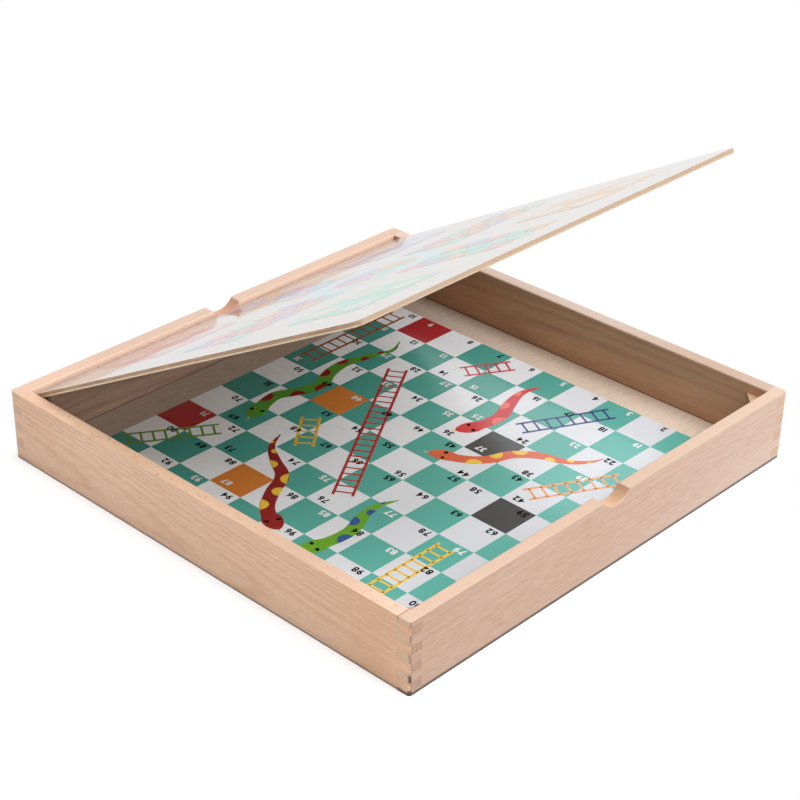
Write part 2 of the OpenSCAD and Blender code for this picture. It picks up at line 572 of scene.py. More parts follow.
@dataclass(frozen=True)
class PrintFinish:
    """Ink under a glossy laminate with a faint orange-peel surface, and on some inks a painted light and
    shade shift across the sheet.
    """

    name: str
    ink: Paint
    ink_at_right: Paint | None = None
    mottle: float = 0.02
    roughness: float = 0.4
    coat: float = 1.0
    left_coat_share: float = 1.0
    coat_ior: float = 1.5
    coat_roughness: float = 0.06
    peel: float = 0.04
    peel_depth: float = 0.03 * MM

    GRAINS = Figure((180.0, 180.0, 180.0), 3.0)
    PEEL = Figure((320.0, 320.0, 320.0), 1.0)
    GLOSS_SWING = 0.04
    COAT_RUN = (-0.16, 0.08)
    INK_RUN = (-0.2, 0.2)

    def material(self) -> bpy.types.Material:
        """Builds the material.

        Returns:
            The material.
        """
        graph = Graph(bpy.data.materials.new(self.name))
        grains = graph.noise(graph.place, self.GRAINS)[0]
        paler, deeper = ([min(1.0, c * share) for c in tone(self.ink)[:3]] + [1.0]
                         for share in (1 + self.mottle, 1 - self.mottle))
        colour = graph.mixed(graph.remap(grains, *self.GRAINS.fade), paler, deeper)
        across = graph.split(graph.place)[0]
        coat: Any = self.coat
        if self.left_coat_share < 1.0:
            coat = graph.remap(across, *self.COAT_RUN, self.left_coat_share * self.coat, self.coat)
        # Painted light and shade: the ink shifts to another tone from left to right across the sheet
        if self.ink_at_right:
            colour = graph.mixed(graph.remap(across, *self.INK_RUN), colour, self.ink_at_right)
        graph.bump(graph.noise(graph.place, self.PEEL)[0], self.peel_depth, self.peel)
        gloss = graph.remap(grains, *self.GRAINS.fade, *around(self.roughness, self.GLOSS_SWING))
        return graph.surface(Base_Color=colour, Roughness=gloss, Specular_IOR_Level=0.0, Coat_Weight=coat,
                             Coat_IOR=self.coat_ior, Coat_Roughness=self.coat_roughness)


class Sheet(Enum):
    """The two printed sheets."""

    FLOOR = "floor"
    LID = "lid"


class Ink(Enum):
    """Inks of the two prints, with their colours."""

    WHITE = "f3f7fe"
    # Grey lid paper: painted shade standing in for less light on the lid's white sheet and discs
    PAPER = "aaa5a0"
    TEAL = "3e958b"
    RED = "ad2b31"
    ORANGE = "ca782f"
    CHARCOAL = "2e353b"
    BLACK = "060607"
    NUMBER_WHITE = "dde0e0"
    CRIMSON = "861019"
    CORAL = "c4242f"
    SALMON = "e0685a"
    TANGERINE = "cb5b3a"
    YELLOW = "e0b83a"
    GRASS = "52942f"
    LIME = "5b9a1a"
    ROYAL = "24488c"
    INDIGO = "2f4280"
    BRICK = "c34a55"
    AMBER = "dcb43c"
    MOSS = "6d9b3a"
    TAN = "d9935a"
    SIENNA = "9c5630"
    MINT = "6fa597"
    ROSE = "b27782"
    PEACH = "b38a58"
    IRIS = "7f86ac"
    MIST = "8fabb2"

    def finish(self, name: str, sheet: Sheet) -> PrintFinish:
        """Returns this ink's finish: the floor's laminate is duller at the left and thin on black, and white
        and teal shift in tone toward the right as painted light and shade.

        Args:
            name: Name of the material.
            sheet: Sheet that the ink is printed on.

        Returns:
            The finish.
        """
        if sheet is Sheet.LID:
            return PrintFinish(name, self.value, coat=0.9, peel=0.0)
        coat = 0.15 if self is Ink.BLACK else 1.0
        painted_light_tones = {Ink.WHITE: "c0c5cd", Ink.TEAL: "51a49b"}.get(self)
        return PrintFinish(name, self.value, painted_light_tones, coat=coat, left_coat_share=0.45, coat_ior=2.0,
                           coat_roughness=0.17)

    def material(self, sheet: Sheet) -> bpy.types.Material:
        """Returns this ink's material for a sheet, made on first use."""
        name = f"{sheet.value}_{self.name.lower()}"
        return bpy.data.materials.get(name) or self.finish(name, sheet).material()


class Bench:
    """Modelling moves that several pieces share."""

    @staticmethod
    def clear() -> None:
        """Deselects everything."""
        bpy.ops.object.select_all(action="DESELECT")

    @staticmethod
    def pick(pieces: Iterable[Piece]) -> None:
        """Selects only these pieces and makes the last of them active."""
        Bench.clear()
        for piece in pieces:
            piece.select_set(True)
            bpy.context.view_layer.objects.active = piece

    @staticmethod
    @contextmanager
    def editing() -> Iterator[None]:
        """Holds the active piece in edit mode, all of it selected at first."""
        bpy.ops.object.mode_set(mode="EDIT")
        bpy.ops.mesh.select_all(action="SELECT")
        yield
        bpy.ops.object.mode_set(mode="OBJECT")

    @staticmethod
    def thicken(thickness: float) -> None:
        """Gives the flat faces of the piece in edit mode a thickness upwards."""
        bpy.ops.mesh.select_all(action="SELECT")
        bpy.ops.mesh.extrude_region_move(TRANSFORM_OT_translate={"value": (0.0, 0.0, thickness)})
        bpy.ops.mesh.select_all(action="SELECT")
        bpy.ops.mesh.normals_make_consistent(inside=False)

    @staticmethod
    def plate(size: Spot, thickness: float, corner: float = 0.0, segments: int = 4) -> Piece:
        """Models a flat plate, centred on the origin, with its underside at height 0.

        Args:
            size: Length along X and width along Y.
            thickness: Height of the plate.
            corner: Rounding of its corners, or 0.
            segments: Faces of each rounding.

        Returns:
            The plate.
        """
        Bench.clear()
        bpy.ops.mesh.primitive_plane_add(size=1.0)
        with Bench.editing():
            bpy.ops.transform.resize(value=(*size, 1.0), center_override=ORIGIN)
            if corner:
                bpy.ops.mesh.bevel(offset=corner, segments=segments, affect="VERTICES")
            Bench.thicken(thickness)
        return bpy.context.object

    @staticmethod
    def disc(radius: float, thickness: float, sides: int = 24) -> Piece:
        """Models a flat disc on the origin, with its underside at height 0."""
        Bench.clear()
        bpy.ops.mesh.primitive_circle_add(vertices=sides, radius=radius, fill_type="NGON")
        with Bench.editing():
            Bench.thicken(thickness)
        return bpy.context.object

    @staticmethod
    def copy(piece: Piece, place: Triple, turn: float = 0.0) -> Piece:
        """Copies a piece with its own mesh to a place, turned about Z."""
        made = piece.copy()
        made.data = piece.data.copy()
        bpy.context.scene.collection.objects.link(made)
        made.location = place
        made.rotation_euler = (0.0, 0.0, turn)
        return made

    @staticmethod
    def discard(*pieces: Piece) -> None:
        """Removes pieces that have served as a pattern or a guide."""
        for piece in pieces:
            bpy.data.objects.remove(piece)

    @staticmethod
    def settle(piece: Piece) -> None:
        """Applies a piece's place to its mesh."""
        Bench.pick([piece])
        bpy.ops.object.transform_apply(location=True, rotation=True, scale=True)

    @staticmethod
    def dress(piece: Piece, *materials: bpy.types.Material) -> Piece:
        """Gives a piece its materials, in the order of its slots, and returns it."""
        piece.data.materials.clear()
        for material in materials:
            piece.data.materials.append(material)
        return piece

    @staticmethod
    def joined(name: str, pieces: list[Piece]) -> Piece:
        """Joins pieces into one, with its place in its mesh.

        Args:
            name: Name of the joined piece.
            pieces: At least one piece, each with its materials.

        Returns:
            The joined piece.
        """
        Bench.pick(pieces)
        if len(pieces) > 1:
            bpy.ops.object.join()
        piece = bpy.context.view_layer.objects.active
        Bench.settle(piece)
        piece.name = piece.data.name = name
        return piece


@dataclass(frozen=True)
class Ladder:
    """One printed ladder, from its foot to its top in squares of the sheet."""

    name: str
    ink: Ink
    foot: Spot
    top: Spot
    rungs: int
    width: float = 0.48
    rail: float = 0.07
    rung: float = 0.055

    def build(self, sheet: FloorPrint, level: float) -> Piece:
        """Models the ladder on the sheet.

        Args:
            sheet: Sheet that the ladder is printed on.
            level: Height of the ladder's underside.

        Returns:
            The ladder.
        """
        start, end = sheet.point(self.foot), sheet.point(self.top)
        middle, run = (start + end) / 2, end - start
        side = sheet.square
        rail = Bench.plate((run.length, self.rail * side), sheet.ink_t)
        rung = Bench.plate((self.rung * side, (self.width - self.rail) * side), sheet.ink_t)
        reach = (self.width - self.rail) / 2 * side
        bars = [Bench.copy(rail, (0.0, reach * hand, 0.0)) for hand in (-1, 1)]
        pitch = run.length / self.rungs
        bars += [Bench.copy(rung, ((i + 0.5) * pitch - run.length / 2, 0.0, 0.0)) for i in range(self.rungs)]
        Bench.discard(rail, rung)
        piece = Bench.joined(f"ladder_{self.name}", bars)
        piece.location = (middle.x, middle.y, level)
        piece.rotation_euler.z = math.atan2(run.y, run.x)
        Bench.settle(piece)
        return Bench.dress(piece, self.ink.material(Sheet.FLOOR))


@dataclass(frozen=True)
class Snake:
    """One printed snake, from tail to head in squares of the sheet."""

    name: str
    skin: Ink
    spots: Ink
    path: tuple[Spot, ...]
    spots_at: tuple[Spot, ...]
    half_width: float = 5.5 * MM
    head_half: float = 7.8 * MM
    head: float = 22.0 * MM
    brow: float = 13.5 * MM
    tail_half: float = 0.5 * MM
    eye: float = 1.5 * MM
    eyes_back: float = 12.4 * MM
    tongue: Spot = (4.0 * MM, 1.2 * MM)
    tongue_out: float = 1.2 * MM

    NOSE_BLUNT = 0.58
    NOSE_TIP = 0.004
    TAPER = 0.55
    TRUNK_STEPS = 40
    NOSE_STEPS = 8
    SPOT_SCALE = (1.08, 1.2)
    EYE_SCALE = (1.0, 1.25, 1.0)
    EYE_SPREAD = 0.56

    def half_at(self, s: float, length: float) -> float:
        """Gives the outline of the straight snake.

        Args:
            s: Distance from the tip of the tail.
            length: Length from the tip of the tail to the nose.

        Returns:
            Half of the snake's width there.
        """
        from_nose = length - s
        if from_nose < self.brow:
            bow = 1 - (1 - from_nose / self.brow) ** 2
            return self.head_half * max(self.NOSE_TIP, bow) ** self.NOSE_BLUNT
        body = min(1.0, s / (self.TAPER * length))
        body = self.tail_half + (self.half_width - self.tail_half) * math.sin(body * QUARTER_TURN)
        if from_nose > self.head:
            return body
        share = (self.head - from_nose) / (self.head - self.brow)
        return body + (self.head_half - body) * share * share * (3 - 2 * share)

    def route(self, sheet: FloorPrint) -> Piece:
        """Draws the line that the snake follows.

        Args:
            sheet: Sheet that the snake is printed on.

        Returns:
            A smooth curve through the snake's points.
        """
        Bench.clear()
        bpy.ops.curve.primitive_bezier_curve_add()
        curve = bpy.context.object
        curve.data.dimensions = "2D"
        spline = curve.data.splines[0]
        spline.resolution_u = 24
        spline.bezier_points.add(len(self.path) - len(spline.bezier_points))
        for knot, spot in zip(spline.bezier_points, self.path):
            knot.co = sheet.point(spot)
            knot.handle_left_type = knot.handle_right_type = "AUTO"
        return curve

    def body(self, length: float, thickness: float) -> Piece:
        """Models the straight body along X, section by section.

        Args:
            length: Length from the tip of the tail to the nose.
            thickness: Height of the body.

        Returns:
            The straight body.
        """
        steps = [length * i / self.TRUNK_STEPS for i in range(1, self.TRUNK_STEPS + 1)]
        first, *sections = [s for s in steps if s < length - self.brow]
        sections += [length - self.brow * (1 - math.sin(QUARTER_TURN * i / self.NOSE_STEPS))
                     for i in range(self.NOSE_STEPS + 1)]
        at, half = first, self.half_at(first / 2, length)
        Bench.clear()
        bpy.ops.mesh.primitive_plane_add(size=1.0)
        piece = bpy.context.object
        with Bench.editing():
            bpy.ops.transform.resize(value=(first, 2 * half, 1.0), center_override=ORIGIN)
            bpy.ops.transform.translate(value=(first / 2, 0.0, 0.0))
        for part in (*piece.data.polygons, *piece.data.edges, *piece.data.vertices):
            part.select = False
        for edge in piece.data.edges:
            edge.select = all(piece.data.vertices[v].co.x > first / 2 for v in edge.vertices)
        bpy.ops.object.mode_set(mode="EDIT")
        bpy.ops.mesh.select_mode(type="EDGE")
        for s in sections:
            wide = self.half_at(s, length)
            bpy.ops.mesh.extrude_region_move(TRANSFORM_OT_translate={"value": (s - at, 0.0, 0.0)})
            bpy.ops.transform.resize(value=(1.0, wide / half, 1.0), center_override=(s, 0.0, 0.0))
            at, half = s, wide
        Bench.thicken(thickness)
        bpy.ops.object.mode_set(mode="OBJECT")
        return Bench.dress(piece, self.skin.material(Sheet.FLOOR))

    def marks(self, length: float, thickness: float) -> list[Piece]:
        """Models the half-round spots along both edges, the eyes and the tongue.

        Args:
            length: Length from the tip of the tail to the nose.
            thickness: Height of each mark.

        Returns:
            The marks, dressed, at the straight body's place.
        """
        made = []
        for share, hand in self.spots_at:
            half = self.half_at(share * length, length)
            spot = Bench.disc(1.0, thickness, sides=20)
            with Bench.editing():
                bpy.ops.mesh.bisect(plane_co=ORIGIN, plane_no=(0.0, 1.0, 0.0), clear_outer=True,
                                    use_fill=True)
            spot.scale = (self.SPOT_SCALE[0] * half, self.SPOT_SCALE[1] * half * hand, 1.0)
            spot.location = (share * length, half * hand, thickness)
            made.append(Bench.dress(spot, self.spots.material(Sheet.FLOOR)))
        for hand in (-1, 1):
            eye = Bench.disc(self.eye, thickness, sides=12)
            eye.scale = self.EYE_SCALE
            eye.location = (length - self.eyes_back, self.EYE_SPREAD * self.head_half * hand, thickness)
            made.append(Bench.dress(eye, Ink.BLACK.material(Sheet.FLOOR)))
        tongue = Bench.plate(self.tongue, thickness)
        tongue.location = (length + self.tongue_out, 0.0, -thickness / 2)
        made.append(Bench.dress(tongue, Ink.YELLOW.material(Sheet.FLOOR)))
        for mark in made:
            Bench.settle(mark)
        return made

    def build(self, sheet: FloorPrint, level: float) -> Piece:
        """Models the snake straight and bends it along its route.

        Args:
            sheet: Sheet that the snake is printed on.
            level: Height of the snake's underside.

        Returns:
            The snake.
        """
        route = self.route(sheet)
        length = route.data.splines[0].calc_length()
        body = self.body(length, sheet.ink_t)
        piece = Bench.joined(f"snake_{self.name}", self.marks(length, sheet.ink_t) + [body])
        with Bench.editing():
            bpy.ops.mesh.normals_make_consistent(inside=False)
        bend = piece.modifiers.new("bend", "CURVE")
        bend.object = route
        bend.deform_axis = "POS_X"
        bpy.ops.object.modifier_apply(modifier=bend.name)
        Bench.discard(route)
        piece.location.z = level
        Bench.settle(piece)
        return piece


class NumberSpot(Enum):
    """Places of a number in its square, across from the left and down from the back."""

    BACK_RIGHT = (0.75, 0.17)
    BACK_MIDDLE = (0.42, 0.19)
    FRONT_LEFT = (0.33, 0.80)
    FRONT_RIGHT = (0.77, 0.86)


@dataclass
class FloorPrint:
    """Printed squares sheet on the tray's floor, with its ladders, snakes and numbers."""

    low: Vector
    high: Vector
    count: int = 10
    ink_t: float = 0.03 * MM
    digit_h: float = 6.1 * MM
    digit_gap: float = 0.7 * MM
    digit_weight: float = 0.03
    ladder_lift: float = 0.2
    snake_lift: float = 1.6
    number_lift: float = 4.0

    SPECIAL = {9: Ink.RED, 71: Ink.RED, 48: Ink.ORANGE, 87: Ink.ORANGE, 37: Ink.CHARCOAL, 59: Ink.CHARCOAL}
    MOVED = {
        NumberSpot.BACK_MIDDLE: {9, 58, 100},
        NumberSpot.FRONT_LEFT: {14, 15, 25, 31, 36, 37, 42, 69, 73, 76, 87, 99},
        NumberSpot.FRONT_RIGHT: {24, 38, 44, 56},
    }
    BLACK_ON_COLOUR = {7, 17, 43, 45, 47, 49, 51, 53, 55, 57, 59, 61, 63, 65, 67, 69, 73, 89}
    COVERED_NUMBERS = {52, 91, 95, 97}
    LADDERS = (
        Ladder("red", Ink.BRICK, (3.62, 1.43), (4.29, 0.32), 5),
        Ladder("blue", Ink.INDIGO, (6.36, 2.50), (7.45, 0.43), 8),
        Ladder("long", Ink.RED, (5.50, 7.37), (2.43, 2.44), 23, width=0.51),
        Ladder("brown", Ink.SIENNA, (0.44, 3.62), (0.43, 0.33), 12),
        Ladder("small", Ink.AMBER, (3.42, 6.54), (2.60, 5.52), 5),
        Ladder("green", Ink.MOSS, (0.30, 9.24), (1.51, 7.37), 8),
        Ladder("tan", Ink.TAN, (8.31, 4.53), (9.41, 2.54), 8),
        Ladder("yellow", Ink.AMBER, (8.45, 9.45), (8.45, 7.23), 9),
    )
    SNAKES = (
        Snake("coral", Ink.CORAL, Ink.SALMON,
              ((5.47, 0.66), (5.34, 1.06), (5.34, 1.33), (5.51, 1.90), (5.68, 2.34), (5.69, 2.66),
               (5.60, 3.09), (5.38, 3.59)),
              ((0.21, -1), (0.42, -1), (0.65, 1)), half_width=5.6 * MM, head_half=7.4 * MM),
        Snake("orange", Ink.TANGERINE, Ink.YELLOW,
              ((8.58, 2.17), (8.47, 2.45), (8.07, 2.85), (7.48, 3.08), (7.02, 3.46), (6.74, 4.05),
               (6.29, 4.44), (5.90, 4.59), (5.59, 4.74)),
              ((0.09, 1), (0.19, -1), (0.30, 1), (0.47, -1), (0.60, -1), (0.74, 1)),
              half_width=5.2 * MM, head_half=6.8 * MM),
        Snake("green", Ink.GRASS, Ink.CRIMSON,
              ((1.49, 1.39), (1.67, 1.87), (1.53, 2.27), (1.39, 2.82), (1.31, 3.11), (1.40, 3.75),
               (1.66, 4.35), (1.49, 4.95), (1.29, 5.41), (1.39, 5.91), (1.60, 6.54)),
              ((0.06, 1), (0.15, -1), (0.24, 1), (0.34, -1), (0.46, -1), (0.58, 1), (0.69, 1), (0.82, -1)),
              half_width=5.9 * MM, head_half=8.0 * MM),
        Snake("crimson", Ink.CRIMSON, Ink.YELLOW,
              ((2.67, 6.57), (2.90, 7.04), (3.42, 7.42), (4.00, 7.76), (4.34, 8.37), (4.74, 8.89),
               (5.11, 9.10), (5.50, 9.26)),
              ((0.09, -1), (0.19, 1), (0.32, -1), (0.48, 1), (0.61, 1), (0.75, -1))),
        Snake("lime", Ink.LIME, Ink.ROYAL,
              ((6.50, 6.66), (6.33, 7.21), (6.39, 7.62), (6.57, 8.08), (6.62, 8.33), (6.57, 8.84),
               (6.37, 9.53)),
              ((0.12, -1), (0.27, 1), (0.43, -1), (0.65, 1)), head_half=7.6 * MM),
    )

    @property
    def square(self) -> float:
        """Side of one square."""
        return (self.high.x - self.low.x) / self.count

    def point(self, spot: Spot) -> Vector:
        """Returns the point of a spot, counted in squares from the back left corner."""
        return Vector((self.low.x + spot[0] * self.square, self.high.y - spot[1] * self.square, 0.0))

    def number_of(self, column: int, row: int) -> int:
        """Returns a square's number: rows run from the back, the first from right to left."""
        step = self.count - column if row % 2 == 0 else column + 1
        return row * self.count + step

    def ink_of(self, column: int, row: int) -> Ink:
        """Returns the ink of a square."""
        plain = Ink.TEAL if (column + row) % 2 else Ink.WHITE
        return self.SPECIAL.get(self.number_of(column, row), plain)

    def sheet(self) -> Piece:
        """Models the sheet as one grid of squares, each with its ink.

        Returns:
            The sheet.
        """
        Bench.clear()
        bpy.ops.mesh.primitive_grid_add(x_subdivisions=self.count, y_subdivisions=self.count, size=1.0)
        piece = bpy.context.object
        piece.name = piece.data.name = "squares_sheet"
        middle, spread = (self.low + self.high) / 2, self.high - self.low
        with Bench.editing():
            bpy.ops.transform.resize(value=(spread.x, spread.y, 1.0), center_override=ORIGIN)
            Bench.thicken(spread.z)
        piece.location = (middle.x, middle.y, self.low.z)
        Bench.settle(piece)
        inks = list(dict.fromkeys([Ink.WHITE, Ink.TEAL, *self.SPECIAL.values()]))
        Bench.dress(piece, *[ink.material(Sheet.FLOOR) for ink in inks])
        for face in piece.data.polygons:
            if face.normal.z > 0.5:
                column = int((face.center.x - self.low.x) / self.square)
                row = int((self.high.y - face.center.y) / self.square)
                face.material_index = inks.index(self.ink_of(column, row))
        return piece

    def digits(self) -> dict[str, Piece]:
        """Models each of the ten digits once, with its left edge at 0.

        Returns:
            The digits by their characters.
        """
        made = {}
        half_height = 0.5
        for digit in "0123456789":
            Bench.clear()
            bpy.ops.object.text_add()
            text = bpy.context.object.data
            text.body = digit
            text.resolution_u = 3
            text.offset = self.digit_weight
            text.extrude = half_height
            bpy.ops.object.convert(target="MESH")
            glyph = bpy.context.object
            heights = [v.co.y for v in glyph.data.vertices]
            left = min(v.co.x for v in glyph.data.vertices)
            glyph.data.transform(Matrix.Translation((-left, 0.0, half_height)))
            share = self.digit_h / (max(heights) - min(heights))
            glyph.data.transform(Matrix.Diagonal((share, share, self.ink_t, 1.0)))
            made[digit] = glyph
        return made

    def numbers(self, level: float) -> list[Piece]:
        """Sets the numbers of the squares to read from the back, one piece for each ink.

        Args:
            level: Height of the numbers' undersides.

        Returns:
            The black and the white numbers.
        """
        glyphs = self.digits()
        width = {digit: max(v.co.x for v in glyph.data.vertices) for digit, glyph in glyphs.items()}
        rows: dict[Ink, list[Piece]] = {Ink.BLACK: [], Ink.NUMBER_WHITE: []}
        for row, column in ((row, column) for row in range(self.count) for column in range(self.count)):
            number = self.number_of(column, row)
            if number in self.COVERED_NUMBERS:
                continue
            on_white = self.ink_of(column, row) is Ink.WHITE
            ink = Ink.BLACK if on_white or number in self.BLACK_ON_COLOUR else Ink.NUMBER_WHITE
            spot = next((s for s, moved in self.MOVED.items() if number in moved), NumberSpot.BACK_RIGHT)
            centre = self.point((column + spot.value[0], row + spot.value[1]))
            text = str(number)
            at = (sum(width[d] for d in text) + self.digit_gap * (len(text) - 1)) / 2
            for digit in text:
                place = (centre.x + at, centre.y + self.digit_h / 2, level)
                rows[ink].append(Bench.copy(glyphs[digit], place, math.pi))
                at -= width[digit] + self.digit_gap
        Bench.discard(*glyphs.values())
        return [Bench.dress(Bench.joined(f"numbers_{ink.name.lower()}", copies), ink.material(Sheet.FLOOR))
                for ink, copies in rows.items()]

    def build(self) -> list[Piece]:
        """Builds the sheet and all that is printed on it.

        Returns:
            The pieces, the sheet first.
        """
        top = self.high.z
        pieces = [self.sheet()]
        pieces += [ladder.build(self, top + self.ladder_lift * self.ink_t) for ladder in self.LADDERS]
        pieces += [snake.build(self, top + self.snake_lift * self.ink_t) for snake in self.SNAKES]
        pieces += self.numbers(top + self.number_lift * self.ink_t)
        for piece in pieces:
            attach(piece, TRAY_BODY)
        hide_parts("floor_print")
        return pieces


@dataclass
class LidPrint:
    """Printed sheet on the lid: a plain cross-and-circle race game, built flat and then tilted."""

    hinge: Vector
    tilt: float
    side: float
    film_t: float = 0.2 * MM
    ink_t: float = 0.03 * MM
    corner: float = 6.0 * MM
    shift: Spot = (-8.0 * MM, 4.0 * MM)
    pitch: float = 21.5 * MM
    cell: float = 19.0 * MM
    cell_corner: float = 4.0 * MM
    arm: int = 5
    arm_start: float = 3.0
    yard: float = 78.0 * MM
    yard_corner: float = 8.0 * MM
    yard_at: float = 112.0 * MM
    disc: float = 13.0 * MM
    ring_pitches: float = 2.5
    inside_pitches: float = 1.7
    quarter_pitches: float = 1.45
    quarter_gap: float = 0.6 * MM
    ring_lift: float = 0.3
    cell_lift: float = 1.0
    inside_lift: float = 1.2
    top_lift: float = 2.5

    YARDS = ((1, -1, Ink.MINT), (-1, -1, Ink.ROSE), (-1, 1, Ink.IRIS), (1, 1, Ink.PEACH))
    TRACK = (Ink.MINT, Ink.PEACH, Ink.IRIS, Ink.ROSE)

    def place(self, across: float, up: float, lift: float) -> Triple:
        """Returns a place on the flat lid, from the print's middle, lifted by so many inks."""
        return (self.side / 2 + self.shift[0] + across, self.shift[1] + up, lift * self.ink_t)

    def sheet(self) -> Piece:
        """Models the paper sheet with the lid's round corners."""
        piece = Bench.plate((self.side, self.side), self.film_t, self.corner, segments=8)
        piece.location = (self.side / 2, 0.0, -self.film_t)
        return Bench.dress(piece, Ink.PAPER.material(Sheet.LID))

    def track(self) -> dict[Ink, list[Piece]]:
        """Lays the cells of the four arms and their home rows.

        Returns:
            The cells by ink.
        """
        pattern = Bench.plate((self.cell, self.cell), self.ink_t, self.cell_corner)
        laid: dict[Ink, list[Piece]] = {ink: [] for ink in self.TRACK}
        for quarter, home in enumerate(self.TRACK):
            turn = Matrix.Rotation(quarter * QUARTER_TURN, 3, "Z")
            for lane in (-1, 0, 1):
                for step in range(self.arm):
                    spot = turn @ Vector(((step + self.arm_start) * self.pitch, lane * self.pitch, 0.0))
                    along_track = step if lane > 0 else -step
                    ink = self.TRACK[(quarter + along_track + lane) % 4] if lane else home
                    laid[ink].append(Bench.copy(pattern, self.place(spot.x, spot.y, self.cell_lift)))
        Bench.discard(pattern)
        return laid

    def yards(self, laid: dict[Ink, list[Piece]]) -> list[Piece]:
        """Lays the four corner yards and the white discs on them.

        Args:
            laid: Pieces by ink, to which the yards are added.

        Returns:
            The discs.
        """
        yard = Bench.plate((self.yard, self.yard), self.ink_t, self.yard_corner)
        disc = Bench.disc(self.disc, self.ink_t)
        step = self.yard / 4
        discs = []
        for across, up, ink in self.YARDS:
            x, y = across * self.yard_at, up * self.yard_at
            laid[ink].append(Bench.copy(yard, self.place(x, y, self.cell_lift)))
            discs += [Bench.copy(disc, self.place(x + i * step, y + j * step, self.top_lift))
                      for i in (-1, 1) for j in (-1, 1)]
        Bench.discard(yard, disc)
        return discs

    def middle(self, laid: dict[Ink, list[Piece]]) -> Piece:
        """Lays the pale ring in the middle and four quarter discs within it, one in each ink.

        Args:
            laid: Pieces by ink, to which the ring and the quarters are added.

        Returns:
            The white disc inside the ring.
        """
        ring = Bench.disc(self.ring_pitches * self.pitch, self.ink_t, sides=64)
        ring.location = self.place(0.0, 0.0, self.ring_lift)
        laid[Ink.MIST] = [ring]
        inside = Bench.disc(self.inside_pitches * self.pitch, self.ink_t, sides=48)
        inside.location = self.place(0.0, 0.0, self.inside_lift)
        for quarter, ink in enumerate(self.TRACK):
            piece = Bench.disc(self.quarter_pitches * self.pitch, self.ink_t, sides=32)
            with Bench.editing():
                for normal in ((1.0, 1.0, 0.0), (1.0, -1.0, 0.0)):
                    bpy.ops.mesh.select_all(action="SELECT")
                    bpy.ops.mesh.bisect(plane_co=(self.quarter_gap, 0.0, 0.0), plane_no=normal,
                                        clear_inner=True, use_fill=True)
            piece.rotation_euler.z = quarter * QUARTER_TURN
            piece.location = self.place(0.0, 0.0, self.top_lift)
            laid[ink].append(piece)
        return inside

    def build(self) -> list[Piece]:
        """Builds the sheet and its inks flat and tilts them with the lid.

        Returns:
            The pieces, the sheet first.
        """
        laid = self.track()
        discs = self.yards(laid)
        discs.append(self.middle(laid))
        pieces = [Bench.joined("lid_sheet", [self.sheet()])]
        for ink, copies in laid.items():
            piece = Bench.joined(f"lid_ink_{ink.name.lower()}", copies)
            pieces.append(Bench.dress(piece, ink.material(Sheet.LID)))
        pieces.append(Bench.dress(Bench.joined("lid_ink_white", discs), Ink.PAPER.material(Sheet.LID)))
        raise_lid = Matrix.Translation(self.hinge) @ Matrix.Rotation(-self.tilt, 4, "Y")
        for piece in pieces:
            piece.matrix_world = raise_lid
            Bench.settle(piece)
            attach(piece, LID_BODY)
        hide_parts("lid_print")
        return pieces


